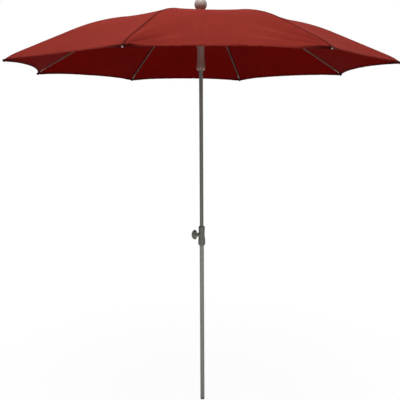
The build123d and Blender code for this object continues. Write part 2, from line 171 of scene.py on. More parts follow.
def grained(tree, place, size, detail, roughness, spread, depth):
    """Roughness and normal of a surface whose grain is about `size` metres across and `depth` deep."""
    grain = add(tree, "ShaderNodeTexNoise", {"Vector": place, "Scale": 1 / size, "Detail": detail})
    gloss = add(tree, "ShaderNodeMapRange", {"Value": grain.outputs["Fac"], **MIDDLE,
                                             "To Min": roughness - spread, "To Max": roughness + spread})
    relief = add(tree, "ShaderNodeBump", {"Height": grain.outputs["Fac"], "Distance": depth})
    return {"Roughness": gloss.outputs["Result"], "Normal": relief.outputs["Normal"]}


def plain_finish(name, colour, worn, roughness, grain, depth, metallic=0.0, mottle=0.06, specular=0.5):
    """Moulded, painted or plated stock: colour mottled at a hand's scale, and a fine surface grain."""
    material, tree = blank_material(name)
    place = add(tree, "ShaderNodeTexCoord").outputs["Object"]
    shader = add(tree, "ShaderNodeBsdfPrincipled",
                 {"Base Color": mottled(tree, place, mottle, colour, worn), "Metallic": metallic,
                  "Specular IOR Level": specular,
                  **grained(tree, place, grain, 4.0, roughness, 0.07, depth)})
    add(tree, "ShaderNodeOutputMaterial", {"Surface": shader.outputs["BSDF"]})
    return material


def pole_paint(name, colour, worn):
    """Powder-coated steel tube: an even satin grey with orange peel, darker over its last centimetre at the
    pole's foot.
    """
    material, tree = blank_material(name)
    place = add(tree, "ShaderNodeTexCoord").outputs["Object"]
    paint = mottled(tree, place, 90 * MM, colour, worn)
    height = add(tree, "ShaderNodeSeparateXYZ", {"Vector": place}).outputs["Z"]
    # a ragged band at the pole's foot, darkened towards a near black grey
    foot_noise = add(tree, "ShaderNodeTexNoise",
                 {"Vector": place, "Scale": 1 / (6 * MM), "Detail": 5.0, "Roughness": 0.7})
    ragged = add(tree, "ShaderNodeMath", {0: foot_noise.outputs["Fac"], 1: 8 * MM}, operation="MULTIPLY")
    level = add(tree, "ShaderNodeMath", {0: height, 1: ragged.outputs[0]}, operation="SUBTRACT")
    foot = add(tree, "ShaderNodeMapRange", {"Value": level.outputs[0], "From Min": 2 * MM,
                                            "From Max": 10 * MM, "To Min": 0.75, "To Max": 0.0})
    darker_foot = add(tree, "ShaderNodeMix", {"Factor": foot.outputs["Result"], MIX_FIRST: paint,
                                          MIX_SECOND: linear("3a3a38")}, data_type="RGBA")
    shader = add(tree, "ShaderNodeBsdfPrincipled",
                 {"Base Color": darker_foot.outputs[MIX_RESULT],
                  **grained(tree, place, 1.6 * MM, 2.0, 0.42, 0.06, 0.02 * MM)})
    add(tree, "ShaderNodeOutputMaterial", {"Surface": shader.outputs["BSDF"]})
    return material


def weave_height(tree, uv, pitch):
    """Over-and-under threads of a plain weave, `pitch` metres apart both ways, from 0 to 1."""
    scale = add(tree, "ShaderNodeVectorMath", {0: uv, 1: (math.pi / pitch,) * 3}, operation="MULTIPLY")
    axes = add(tree, "ShaderNodeSeparateXYZ", {"Vector": scale.outputs[0]})
    warp = add(tree, "ShaderNodeMath", {0: axes.outputs["X"]}, operation="SINE")
    weft = add(tree, "ShaderNodeMath", {0: axes.outputs["Y"]}, operation="SINE")
    crossing = add(tree, "ShaderNodeMath", {0: warp.outputs[0], 1: weft.outputs[0]}, operation="MULTIPLY")
    return add(tree, "ShaderNodeMath", {0: crossing.outputs[0], 1: 0.5, 2: 0.5},
               operation="MULTIPLY_ADD").outputs[0]


def cloth(name, colour, faded, shadow, sheen, specular):
    """Spun polyester in a plain weave, dyed in the yarn: matt, with a pale nap at grazing angles.
    Slubs in the yarn darken it towards its shadow colour. So does painted shade: in the gaps between yarns
    and, by the `seam` attribute, where layers are folded and sewn, in the seams' grooves, at the hem's rolled
    edge and over the ribs."""
    material, tree = blank_material(name)
    uv = add(tree, "ShaderNodeUVMap", uv_map="cloth").outputs["UV"]
    place = add(tree, "ShaderNodeTexCoord").outputs["Object"]
    weave = weave_height(tree, uv, YARN_PITCH)
    along_yarn = add(tree, "ShaderNodeMapping", {"Vector": uv, "Scale": (1.0, 0.06, 1.0)})
    streaks = add(tree, "ShaderNodeTexNoise",
                  {"Vector": along_yarn.outputs["Vector"], "Scale": 1 / (5 * MM), "Detail": 2.0})
    slubs = add(tree, "ShaderNodeMapRange", {"Value": streaks.outputs["Fac"], **MIDDLE, "To Max": 0.16})
    # painted shade in the hollows between the yarns
    yarn_gap_shade = add(tree, "ShaderNodeMapRange", {"Value": weave, "To Min": 0.14, "To Max": 0.0})
    # painted shade: the `seam` attribute darkens seams, their grooves, the hem's edges and the strip over
    # each rib towards the shadow colour
    sewn = add(tree, "ShaderNodeAttribute", attribute_name="seam")
    tone = mottled(tree, place, 160 * MM, colour, faded)
    for share in (slubs.outputs["Result"], yarn_gap_shade.outputs["Result"], sewn.outputs["Fac"]):
        tone = add(tree, "ShaderNodeMix", {"Factor": share, MIX_FIRST: tone, MIX_SECOND: linear(shadow)},
                   data_type="RGBA").outputs[MIX_RESULT]
    relief = add(tree, "ShaderNodeBump", {"Height": weave, "Strength": 0.6, "Distance": 0.12 * MM})
    shader = add(tree, "ShaderNodeBsdfPrincipled",
                 {"Base Color": tone, "Roughness": 0.85, "Specular IOR Level": specular,
                  "Sheen Weight": sheen, "Sheen Roughness": 0.45, "Sheen Tint": linear("ffd2c8"),
                  "Normal": relief.outputs["Normal"]})
    add(tree, "ShaderNodeOutputMaterial", {"Surface": shader.outputs["BSDF"]})
    return material


materials = {
    "pole": pole_paint("powder_coated_tube_lower", "a2a199", "98978f"),
    # the lower tube's powder coat, painted darker for the shade that the canopy casts on the upper tube
    "upper_pole": pole_paint("powder_coated_tube_upper_painted_shade", "76736c", "6d6a64"),
    # moulded polypropylene in the pole's grey: satin, faintly uneven, with a fine mould grain
    "clamp": plain_finish("moulded_polypropylene_grey", "78796f", "6f7066", 0.5, 0.7 * MM, 0.03 * MM),
    # the runner's grey, painted warm red-brown for the red light that the canopy throws on it
    "runner": plain_finish("moulded_polypropylene_grey_painted_red_light", "987266", "8c685d", 0.48, 0.7 * MM, 0.03 * MM),
    # glass-filled nylon, moulded: dark and matt, a little chalky
    "hub": plain_finish("moulded_nylon_dark", "3c2a28", "332322", 0.6, 0.5 * MM, 0.04 * MM),
    "black": plain_finish("moulded_polyethylene_black", "1d1d1d", "262626", 0.55, 0.6 * MM, 0.03 * MM),
    # turned or moulded ABS ball in a warm off-white, satin
    "ball": plain_finish("moulded_abs_off_white", "c4b8b1", "bbaea7", 0.42, 0.8 * MM, 0.02 * MM),
    # acetal tip balls: near white, smooth and glossy, painted pink for the red light that the canopy throws
    # on them
    "tip": plain_finish("moulded_acetal_white_painted_red_light", "d0a79c", "c69d92", 0.3, 0.9 * MM, 0.008 * MM),
    # stove-enamelled steel strip of the ribs and stretchers: a thin grey coat over a rolled strip, painted
    # red-brown for the red light that the canopy throws on them
    "rib": plain_finish("stove_enamelled_strip_painted_red_light", "906558", "845b50", 0.4, 1.0 * MM, 0.015 * MM),
    # zinc-plated steel: bright and faintly blue, with a fine crystalline grain
    "zinc": plain_finish("zinc_plated_steel", "c2c4c6", "a9abad", 0.35, 0.4 * MM, 0.01 * MM, 1.0, 0.02),
    # tempered spring strip: blued grey, smoother than the plated parts
    "spring": plain_finish("tempered_spring_steel", "8f9296", "7a7d82", 0.3, 0.4 * MM, 0.008 * MM, 1.0, 0.02),
    # turned brass: warm yellow, satin from the tool
    "brass": plain_finish("turned_brass", "c9a35c", "b8924c", 0.3, 0.3 * MM, 0.01 * MM, 1.0, 0.02),
    # the canopy's outer face, and its inner face in a deeper, fuller red: painted light that stands in for
    # the red light through the cloth and the shade under it
    "outer": cloth("woven_polyester_outer_face", "9c342a", "933027", "3a0402", 0.01, 0.04),
    "inner": cloth("woven_polyester_inner_face_painted_light", "8a0c05", "820a04", "240100", 0.0, 0.04),
    # doubled polyester webbing of the corner pockets, coarser and darker than the canopy's cloth; its
    # darkness is partly painted shade of the pocket round the tip ball
    "webbing": cloth("woven_polyester_webbing_painted_shade", "3a0c0a", "330b09", "160302", 0.0, 0.1),
    # bonded polyester sewing thread, twisted: matt, darker than the cloth
    "thread": plain_finish("bonded_polyester_thread", "5e0906", "520704", 0.8, 0.3 * MM, 0.05 * MM,
                           specular=0.03),
}


# ---------------------------------------------------------------- the canopy's surface
def step(value, start, end):
    """A smooth step from 0 at start to 1 at end."""
    t = np.clip((value - start) / (end - start), 0, 1)
    return t * t * (3 - 2 * t)


def between(pair, share):
    """From the pair's second value at share 0 to its first at share 1."""
    return pair[1] + (pair[0] - pair[1]) * share


def rib_top(station):
    """Height of a rib's top edge at a distance from the pole's axis: straight, an arc, straight."""
    top_x = PIVOT_RADIUS + math.sin(INNER_SLOPE) * PIVOT_BELOW_RIB_TOP
    top_z = PIVOT_HEIGHT + math.cos(INNER_SLOPE) * PIVOT_BELOW_RIB_TOP
    bend_z = top_z - (BEND_STATION - top_x) * math.tan(INNER_SLOPE)
    tangent = BEND_RADIUS * math.tan((OUTER_SLOPE - INNER_SLOPE) / 2)
    arc_start = BEND_STATION - tangent * math.cos(INNER_SLOPE)
    arc_end = BEND_STATION + tangent * math.cos(OUTER_SLOPE)
    centre_x = arc_start - math.sin(INNER_SLOPE) * BEND_RADIUS
    centre_z = bend_z + tangent * math.sin(INNER_SLOPE) - math.cos(INNER_SLOPE) * BEND_RADIUS
    inner = top_z - (station - top_x) * math.tan(INNER_SLOPE)
    outer = bend_z - (station - BEND_STATION) * math.tan(OUTER_SLOPE)
    lean = np.clip(station - centre_x, 0, BEND_RADIUS * 0.999)
    arc = centre_z + np.sqrt(BEND_RADIUS ** 2 - lean ** 2)
    return np.where(station < arc_start, inner, np.where(station > arc_end, outer, arc))


def hem_station(turn):
    """Where the hem's arc crosses a line at an angle `turn` from the rib, as a station: a distance
    from the pole's axis along the rib, on the chord that joins two ribs at that distance."""
    hem_radius = (TIP_SIDE ** 2 + HEM_RISE ** 2) / (2 * HEM_RISE)
    reach = TIP_LINE - HEM_RISE + hem_radius
    slope = np.tan(HALF_GORE - turn)
    root = np.sqrt(reach ** 2 - (1 + slope ** 2) * (reach ** 2 - hem_radius ** 2))
    along = (reach - root) / (1 + slope ** 2)
    return along / math.cos(HALF_GORE)


def fold_fan(angle, distance, folds):
    """Tension folds that fan out from a gore's corner, as height. Each fold has its angle from the
    hem and its half-widths on the rib's side and the hem's side, in degrees, the distance in metres
    at which it stands highest, and its rise in millimetres."""
    height = np.zeros_like(distance)
    for middle, rib_side, hem_side, length, rise in folds:
        share = distance / length
        off = np.degrees(angle) - middle
        across = np.exp(-(off / np.where(off > 0, rib_side, hem_side)) ** 2)
        height += rise * MM * share * np.exp((1 - share ** 2) / 2) * across
    return height


def chance_folds(seed):
    """The folds of an ordinary corner, as for fold_fan: low, and a little different at each."""
    chance = np.random.default_rng(seed)
    folds = []
    for middle in (10, 21, 33, 46, 58):
        width = chance.uniform(3.5, 5.5)
        folds.append((middle + chance.uniform(-3, 3), width, width, chance.uniform(0.09, 0.17),
                      chance.uniform(-1.6, 1.2)))
    return folds


# the slack gore's corners, as for fold_fan: nearer its first rib and nearer its second
SLACK_FOLDS = (
    [(7, 3, 3, 0.09, 2.0), (15, 4, 4, 0.12, -5.0), (25, 4, 4, 0.10, 4.0), (37, 7, 6, 0.10, -17.0),
     (54, 5, 4, 0.12, 4.0)],
    [(6, 3, 3, 0.10, 2.0), (12, 3, 4, 0.12, -4.0), (21, 4, 4, 0.12, 3.6), (30, 5, 5, 0.13, -7.0),
     (40, 4, 4, 0.12, 4.6), (52, 7, 7, 0.13, -18.0)],
)


def hem_puckers(along, inward, seed, strength, size):
    """Short puckers where the hem's stitching has drawn the cloth up, slanting in to the middle."""
    chance = np.random.default_rng(seed)
    height = np.zeros_like(along)
    for index in range(PUCKERS):
        centre = FIRST_PUCKER + PUCKER_PITCH * index + chance.uniform(-12, 12) * MM
        lean = -math.copysign(chance.uniform(0.5, 1.1), centre)
        width = size * chance.uniform(4, 8) * MM
        length = size * chance.uniform(22, 60) * MM
        across = along - centre - lean * inward
        fade = np.exp(-(inward / length) ** 2)
        height += strength * chance.uniform(-0.8, 1.0) * MM * fade * np.exp(-(across / width) ** 2)
    return height


def gore_folds(gore, along, centre_line):
    """Folds of one gore. `along` runs from the rib before it to the rib after it, zero half-way, and
    `centre_line` is the distance from the pole's axis along the gore's middle."""
    slack = gore == SLACK_GORE
    inward = TIP_LINE - centre_line
    height = np.zeros_like(along)
    for corner, side in enumerate((1, -1)):
        aside = TIP_SIDE + side * along
        folds = SLACK_FOLDS[corner] if slack else chance_folds(FOLD_SEED + 2 * gore + corner)
        height += fold_fan(np.arctan2(inward, aside), np.hypot(inward, aside), folds)
    strength, size = (2.2, 1.8) if slack else (1.0, 1.2)
    height += hem_puckers(along, np.maximum(inward - HEM_RISE, 0), PUCKER_SEED + gore, strength, size)
    half_gore_width = np.maximum(centre_line, 10 * MM) * math.tan(HALF_GORE)
    from_seam = np.clip(1 - np.abs(along) / half_gore_width, 0, 1)
    return height * np.minimum(1, from_seam * 16)      # the seam holds the cloth flat beside it


def cloth_height(rib_index, station, turn, side):
    """Height of the canopy's outer face over a point of one rib's panel: the rib's line, the sag
    between two ribs, the folds, the pull of the tip balls and the rolled edge of the hem."""
    share = turn / HALF_GORE       # 0 on the rib, 1 in the middle of the gore
    slack = 1 - (1 - share) ** 2
    past_bend = np.clip((station - BEND_STATION) / (TIP_RADIUS - BEND_STATION), 0, None)
    sag = SAG_AT_BEND * np.minimum(1, station / BEND_STATION) + (SAG_AT_HEM - SAG_AT_BEND) * past_bend
    centre_line = station * math.cos(HALF_GORE)
    from_middle = centre_line * np.tan(HALF_GORE - turn)
    gore = (rib_index if side > 0 else rib_index - 1) % 8
    folds = gore_folds(gore, -side * from_middle, centre_line)
    inward = hem_station(turn) - station
    away = step(share, 0, 0.35)    # 0 on the rib, 1 from about a third of the way to the middle
    reach = between((HEM_REACH, CORNER_REACH), away)
    nearness = np.clip(1 - inward / reach, 0, 1)
    pull = CORNER_DROP * (1 - share) ** 2 * nearness ** between(PULL_POWER, away)
    roll = between(ROLL_DROP, np.exp(-((TIP_SIDE - from_middle) / ROLL_REACH) ** 2))
    off_the_seam = step(share, 0.004, 0.018)
    roll *= np.clip(1 - inward / HEM_ROLL, 0, 1) ** 1.3 * off_the_seam
    return rib_top(station) + CLOTH_RISE - slack * sag + folds - pull - roll


def column_offsets(half_width):
    """How far each column of half a panel lies from the rib, along the chord."""
    seam_count = len(SEAM_COLUMNS)
    crowding = np.minimum(1, half_width / SEAM_ROOM)
    over_seam = SEAM_COLUMNS[:, None] * crowding[:seam_count]
    seam_edge = (SEAM_COLUMNS[-1] * crowding)[seam_count:]
    across = np.linspace(0, 1, OPEN_COLUMNS + 1)[1:, None] ** COLUMN_CROWDING
    return np.concatenate([over_seam, seam_edge + across * (half_width[seam_count:] - seam_edge)])


def half_panel(rib_index, side):
    """Points of half a panel in columns from the rib to the middle of the gore and rows from crown
    to hem, with the rib along X, and for each point its distance from the rib and from the hem."""
    down = 1 - (1 - np.linspace(0, 1, OPEN_ROWS)[None, :]) ** ROW_CROWDING
    turn = np.zeros((len(SEAM_COLUMNS) + OPEN_COLUMNS, OPEN_ROWS + len(HEM_ROWS) - 1))
    for _ in range(8):         # the hem and the columns depend on each other, and settle quickly
        hem = np.minimum(hem_station(turn[:, -1:]), TIP_RADIUS - CORNER_SETBACK)
        open_part = CLOTH_START + down * (hem - HEM_ROWS[0] - CLOTH_START)
        station = np.concatenate([open_part, hem - HEM_ROWS[None, 1:]], axis=1)
        offset = column_offsets(station * math.sin(HALF_GORE))
        forward = station - offset * math.sin(HALF_GORE)
        turn = np.arctan2(offset * math.cos(HALF_GORE), forward)
    points = np.stack([forward, side * offset * math.cos(HALF_GORE),
                       cloth_height(rib_index, station, turn, side)], axis=-1)
    return points, offset, hem - station


def rib_azimuth(number):
    return FIRST_RIB + 2 * HALF_GORE * (number - 1)


def panel_grid(number):
    """Both halves of a panel as one grid, with its rib along X."""
    left = half_panel(number - 1, -1)
    right = half_panel(number - 1, 1)
    points, offset, from_hem = [np.concatenate([a[:0:-1], b]) for a, b in zip(left, right)]
    offset[:len(left[1]) - 1] *= -1
    return points, offset, from_hem


def grid_normals(points):
    """Outward normals of a grid of points, from the differences between its neighbours."""
    across = np.gradient(points, axis=0)
    along = np.gradient(points, axis=1)
    normal = np.cross(along, across)
    return normal / np.linalg.norm(normal, axis=-1, keepdims=True)


def turn_about_pole(points, angle):
    c, s = math.cos(angle), math.sin(angle)
    return points @ np.array([[c, s, 0], [-s, c, 0], [0, 0, 1]])


def panel_faces(number):
    """A panel's grid, and its outer and inner faces with the painted shade of each: the felled seam over the
    rib stands up with a groove along its middle, and the hem is doubled; groove, seam, hem, its rolled and
    turned edges and the strip over the rib are darkened as painted shade."""
    points, offset, from_hem = panel_grid(number)
    normals = grid_normals(points)
    from_rib = np.abs(offset)
    seam = 1 - step(from_rib, SEAM_HALF_WIDTH - 1 * MM, SEAM_HALF_WIDTH)
    groove = 1 - step(from_rib, 1.0 * MM, 2.8 * MM)
    hem = 1 - step(from_hem, HEM_WIDTH - 1 * MM, HEM_WIDTH)
    lift = SEAM_RISE * seam - GROOVE_DEPTH * groove + HEM_THICKENING * hem
    outer = points + normals * lift[..., None]
    layers = CLOTH_THICKNESS + EXTRA_LAYERS * np.maximum(seam, hem)
    inner = points - normals * layers[..., None]
    # painted shade of the hem's rolled edge, deepest near the corners
    near_corner = np.exp(-(from_rib / ROLL_SHADE_REACH) ** 2)
    rolled_edge_shade = between(ROLL_SHADE, near_corner) * (1 - step(from_hem, HEM_ROLL - 1.5 * MM, HEM_ROLL))
    outer_painted_shade = np.maximum(np.maximum(GROOVE_SHADE * groove, SEAM_SHADE * seam), rolled_edge_shade)
    # painted shade of the rib and the seam layers beside it, on the inner face
    rib_shade_strip = 1 - step(from_rib, RIB_SHADE_EDGE - 1.5 * MM, RIB_SHADE_EDGE)
    painted_turned_edge = 1 - step(from_hem, HEM_ROLL - 1 * MM, HEM_ROLL + 1 * MM)
    inner_painted_shade = np.maximum(rib_shade_strip, HEM_SHADE * hem + TURNED_EDGE_SHADE * painted_turned_edge)
    return points, offset, (outer, outer_painted_shade), (inner, inner_painted_shade)


def mesh_object(name, vertices, faces, smooth=True):
    """A mesh of these faces as an object in the scene, with its place in its vertices."""
    mesh = bpy.data.meshes.new(name)
    mesh.from_pydata([tuple(v) for v in vertices], [], faces)
    mesh.update()
    mesh.polygons.foreach_set("use_smooth", [smooth] * len(mesh.polygons))
    piece = bpy.data.objects.new(name, mesh)
    bpy.context.scene.collection.objects.link(piece)
    return piece


def canopy_panel(number, faces_of_cloth):
    """One panel of cloth as a closed thin shell: outer face, inner face and raw edges."""
    points, offset, (outer, outer_painted_shade), (inner, inner_painted_shade) = faces_of_cloth
    across, along = offset.shape
    size = across * along
    cells = [(i * along + j, (i + 1) * along + j, (i + 1) * along + j + 1, i * along + j + 1)
             for i in range(across - 1) for j in range(along - 1)]
    faces = [cell[::-1] for cell in cells] + [tuple(size + v for v in cell) for cell in cells]
    rim = ([i * along for i in range(across)]
           + [(across - 1) * along + j for j in range(1, along)]
           + [i * along + along - 1 for i in range(across - 2, -1, -1)]
           + [j for j in range(along - 2, 0, -1)])
    walls = [(a, b, size + b, size + a) for a, b in zip(rim, rim[1:] + rim[:1])]
    vertices = np.concatenate([outer.reshape(-1, 3), inner.reshape(-1, 3)])
    piece = mesh_object(f"canopy_cloth_{number}", turn_about_pole(vertices, rib_azimuth(number)),
                        faces + walls)
    mesh = piece.data
    mesh.materials.append(materials["outer"])
    mesh.materials.append(materials["inner"])
    slots = [0] * len(cells) + [1] * (len(cells) + len(walls))
    mesh.polygons.foreach_set("material_index", slots)
    mark_rim_sharp(mesh, rim, size)
    # the painted shade of both faces, kept as the `seam` attribute
    painted_shade_share = np.concatenate([outer_painted_shade.ravel(), inner_painted_shade.ravel()])
    mesh.attributes.new("seam", "FLOAT", "POINT").data.foreach_set("value", painted_shade_share.astype(np.float32))
    flat = np.stack([offset, np.hypot(points[..., 0], points[..., 1])], axis=-1).reshape(-1, 2)
    flat = np.concatenate([flat, flat])
    corners = np.zeros(len(mesh.loops), np.int32)
    mesh.loops.foreach_get("vertex_index", corners)
    uv = mesh.uv_layers.new(name="cloth")
    uv.data.foreach_set("uv", flat[corners].astype(np.float32).ravel())
    mesh.update()
    return piece


def mark_rim_sharp(mesh, rim, size):
    """Keeps the raw edges crisp, so that a panel's faces shade on into its neighbour's."""
    pairs = list(zip(rim, rim[1:] + rim[:1]))
    sharp = {frozenset(pair) for pair in pairs} | {frozenset((a + size, b + size)) for a, b in pairs}
    for edge in mesh.edges:
        edge.use_edge_sharp = frozenset(edge.vertices) in sharp


# ---------------------------------------------------------------- stitches
def stitch_tree():
    """Geometry Nodes: one short length of thread on each point of a path, laid along it."""
    tree = bpy.data.node_groups.new("stitches", "GeometryNodeTree")
    face = tree.interface
    face.new_socket("Geometry", in_out="OUTPUT", socket_type="NodeSocketGeometry")
    face.new_socket("Path", in_out="INPUT", socket_type="NodeSocketGeometry")
    for name in ("Pitch", "Stitch Length", "Thread Radius"):
        face.new_socket(name, in_out="INPUT", socket_type="NodeSocketFloat")
    face.new_socket("Thread", in_out="INPUT", socket_type="NodeSocketMaterial")
    sizes = add(tree, "NodeGroupInput").outputs
    length = add(tree, "ShaderNodeCombineXYZ", {"Z": sizes["Stitch Length"]}).outputs[0]
    ahead = add(tree, "ShaderNodeVectorMath", {0: length, 1: (0, 0, 0.5)}, operation="MULTIPLY")
    behind = add(tree, "ShaderNodeVectorMath", {0: length, 1: (0, 0, -0.5)}, operation="MULTIPLY")
    line = add(tree, "GeometryNodeCurvePrimitiveLine", {"Start": behind.outputs[0], "End": ahead.outputs[0]})
    section = add(tree, "GeometryNodeCurvePrimitiveCircle",
                  {"Resolution": 6, "Radius": sizes["Thread Radius"]})
    stitch = add(tree, "GeometryNodeCurveToMesh", {"Curve": line.outputs[0], "Fill Caps": True,
                                                   "Profile Curve": section.outputs[0]})
    spaced = add(tree, "GeometryNodeResampleCurve", {"Curve": sizes["Path"], "Length": sizes["Pitch"]},
                 mode="LENGTH")
    tangent = add(tree, "GeometryNodeInputTangent")
    lie = add(tree, "FunctionNodeAlignRotationToVector", {"Vector": tangent.outputs[0]}, axis="Z")
    placed = add(tree, "GeometryNodeInstanceOnPoints",
                 {"Points": spaced.outputs[0], "Instance": stitch.outputs[0], "Rotation": lie.outputs[0]})
    real = add(tree, "GeometryNodeRealizeInstances", {"Geometry": placed.outputs[0]})
    threaded = add(tree, "GeometryNodeSetMaterial",
                   {"Geometry": real.outputs[0], "Material": sizes["Thread"]})
    add(tree, "NodeGroupOutput", {"Geometry": threaded.outputs[0]})
    return tree


def stitches(name, tree, paths):
    """Rows of stitches along paths of points, as one plain mesh."""
    curve = bpy.data.curves.new(name + "_path", "CURVE")
    curve.dimensions = "3D"
    for path in paths:
        spline = curve.splines.new("POLY")
        spline.points.add(len(path) - 1)
        spline.points.foreach_set("co", np.column_stack([path, np.ones(len(path))]).ravel())
    guide = bpy.data.objects.new(name + "_path", curve)
    bpy.context.scene.collection.objects.link(guide)
    modifier = guide.modifiers.new("stitches", "NODES")
    modifier.node_group = tree
    sockets = {item.name: item.identifier for item in tree.interface.items_tree if item.in_out == "INPUT"}
    modifier[sockets["Pitch"]] = STITCH_PITCH
    modifier[sockets["Stitch Length"]] = STITCH_PITCH * STITCH_SHARE
    modifier[sockets["Thread Radius"]] = THREAD_RADIUS
    modifier[sockets["Thread"]] = materials["thread"]
    evaluated = guide.evaluated_get(bpy.context.evaluated_depsgraph_get())
    mesh = bpy.data.meshes.new_from_object(evaluated)
    mesh.name = name
    mesh.polygons.foreach_set("use_smooth", [True] * len(mesh.polygons))
    bpy.data.objects.remove(guide)
    piece = bpy.data.objects.new(name, mesh)
    bpy.context.scene.collection.objects.link(piece)
    return piece


def panel_stitches(number, faces_of_cloth, tree):
    """Two rows down the felled seam and one along the hem, half sunk into the outer face."""
    points, offset, (outer, _), _ = faces_of_cloth
    lifted = outer + grid_normals(points) * (THREAD_RADIUS * 0.4)
    rib_column = len(offset) // 2
    from_rib = 4               # columns to the seam's stitches, 5.5 mm
    seam_rows = [lifted[rib_column + shift, :-2] for shift in (-from_rib, from_rib)]
    hem_row = (lifted[:, -4] + lifted[:, -5]) / 2
    azimuth = rib_azimuth(number)
    return stitches(f"canopy_stitches_{number}", tree,
                    [turn_about_pole(row, azimuth) for row in (*seam_rows, hem_row)])


# ---------------------------------------------------------------- corner pockets
def superellipse(width, height, power, count=28):
    """A closed ring of points, from an oval at power 2 to nearly a rectangle as the power grows."""
    angles = np.linspace(0, 2 * math.pi, count, endpoint=False)
    c, s = np.cos(angles), np.sin(angles)
    return np.stack([np.sign(c) * np.abs(c) ** (2 / power) * width / 2,
                     np.sign(s) * np.abs(s) ** (2 / power) * height / 2], axis=-1)


# the pocket's sections from the arm over the cup's lip and back inside it: millimetres past the
# ball's centre, width, height, how square the section is, and its lift
POCKET_SECTIONS = (
    (-17, 6.4, 5.8, 3.0, -0.3), (-13, 7.2, 6.4, 3.0, -0.3), (-9, 9.0, 7.8, 2.8, -0.1),
    (-5, 11.4, 10.4, 2.5, 0.4), (-1, 12.8, 12.0, 2.3, 0.8), (1.6, 12.6, 11.6, 2.2, 0.8),
    (3.2, 10.6, 9.8, 2.1, 0.6), (3.4, 8.6, 8.0, 2.0, 0.2), (2.0, 9.6, 9.4, 2.0, 0),
    (0, 10.2, 10.2, 2.0, 0), (-3.0, 9.4, 9.2, 2.0, 0), (-5.2, 5.6, 5.6, 2.2, 0),
)


def corner_pocket(number):
    """The webbing pocket that holds a rib's tip: a sleeve round the tip's arm that opens into a cup
    round the tip ball."""
    ball = np.array([TIP_RADIUS, 0, TIP_HEIGHT])
    rib_end = TIP_RADIUS - RIB_END_SETBACK
    arm_root = np.array([rib_end, 0, float(rib_top(np.array(rib_end))) - RIB_DEPTH / 2])
    outward = (ball - arm_root) / np.linalg.norm(ball - arm_root)
    upward = np.array([-outward[2], 0, outward[0]])
    along_rib = np.array([math.cos(OUTER_SLOPE), 0, -math.sin(OUTER_SLOPE)])
    arm_length = np.linalg.norm(ball - arm_root)
    rings = []
    for distance, width, height, power, lift in POCKET_SECTIONS:
        past_root = min(0, distance * MM + arm_length)     # beyond the arm it follows the rib
        centre = ball + outward * max(distance * MM, -arm_length) + along_rib * past_root
        flat = superellipse(width * MM, height * MM, power)
        rings.append(centre + upward * lift * MM + flat[:, :1] * np.array([0, 1, 0])
                     + flat[:, 1:] * upward)
    count = len(rings[0])
    last = (len(rings) - 1) * count
    ends = [tuple(range(count))[::-1], tuple(last + i for i in range(count))]
    vertices = turn_about_pole(np.concatenate(rings), rib_azimuth(number))
    return sewn_piece(f"tip_pocket_{number}", vertices, ring_faces(len(rings), count) + ends, "webbing")


def ring_faces(rings, count, closed=False):
    """Faces between rings of `count` points, and where closed from the last ring back to the first."""
    bands = [(k * count, (k + 1) % rings * count) for k in range(rings if closed else rings - 1)]
    return [(here + i, here + (i + 1) % count, there + (i + 1) % count, there + i)
            for here, there in bands for i in range(count)]


def sewn_piece(name, vertices, faces, finish):
    """A small piece of cloth with its faces turned outwards, its finish and its cloth coordinates."""
    piece = mesh_object(name, vertices, faces)
    face_outwards(piece.data)
    piece.data.materials.append(materials[finish])
    wrap_uv(piece.data)
    return piece


def face_outwards(mesh):
    shape = bmesh.new()
    shape.from_mesh(mesh)
    bmesh.ops.recalc_face_normals(shape, faces=shape.faces)
    shape.to_mesh(mesh)
    shape.free()


def wrap_uv(mesh):
    """Cloth coordinates for a sleeve or disc, from each corner's own place."""
    uv = mesh.uv_layers.new(name="cloth")
    for loop in mesh.loops:
        place = mesh.vertices[loop.vertex_index].co
        uv.data[loop.index].uv = (place.x + place.z * 0.3, place.y + place.z)


# ---------------------------------------------------------------- the cloth disc under the finial
# the disc's upper face: radius and rise above the crown's top in millimetres, first those over the
# crown, from the stud's hole outwards, then those past the crown's edge, counted from that edge
DISC_OVER_CROWN = ((4.2, 0.7), (12.0, 0.95))
DISC_PAST_CROWN = ((-3.5, 1.05), (0, 1.75), (3.0, 2.3), (9.0, 1.45), (9.6, 1.0))
DISC_THICKNESS = 0.55
DISC_RIPPLE = 0.12             # the disc rises this much over each rib and sinks between two
DISC_STITCH_LAP = 7.2 * MM     # the stitches' ring, past the crown's edge
DISC_STITCH_RISE = 1.85 * MM


def circle(radius, height, angles):
    return np.stack([radius * np.cos(angles), radius * np.sin(angles), height + 0 * angles], axis=-1)


def crown_disc(tree):
    """A round of the canopy's cloth that laps over the panels' ends, sewn near its edge."""
    upper = [*DISC_OVER_CROWN, *((CROWN_RADIUS / MM + past, rise) for past, rise in DISC_PAST_CROWN)]
    outline = upper + [(radius, rise - DISC_THICKNESS) for radius, rise in upper[::-1]]
    count = 128
    angles = np.linspace(0, 2 * math.pi, count, endpoint=False)
    rings = []
    for radius, rise in outline:
        ripple = DISC_RIPPLE * np.cos(8 * (angles - FIRST_RIB)) * min(1, radius / 30)
        rings.append(circle(radius * MM, CROWN_TOP + (rise + ripple) * MM, angles))
    piece = sewn_piece("crown_cloth_disc", np.concatenate(rings),
                       ring_faces(len(rings), count, closed=True), "outer")
    seam_line = circle(CROWN_RADIUS + DISC_STITCH_LAP, CROWN_TOP + DISC_STITCH_RISE,
                       np.linspace(0, 2 * math.pi, 200))
    return piece, stitches("crown_disc_stitches", tree, [seam_line])


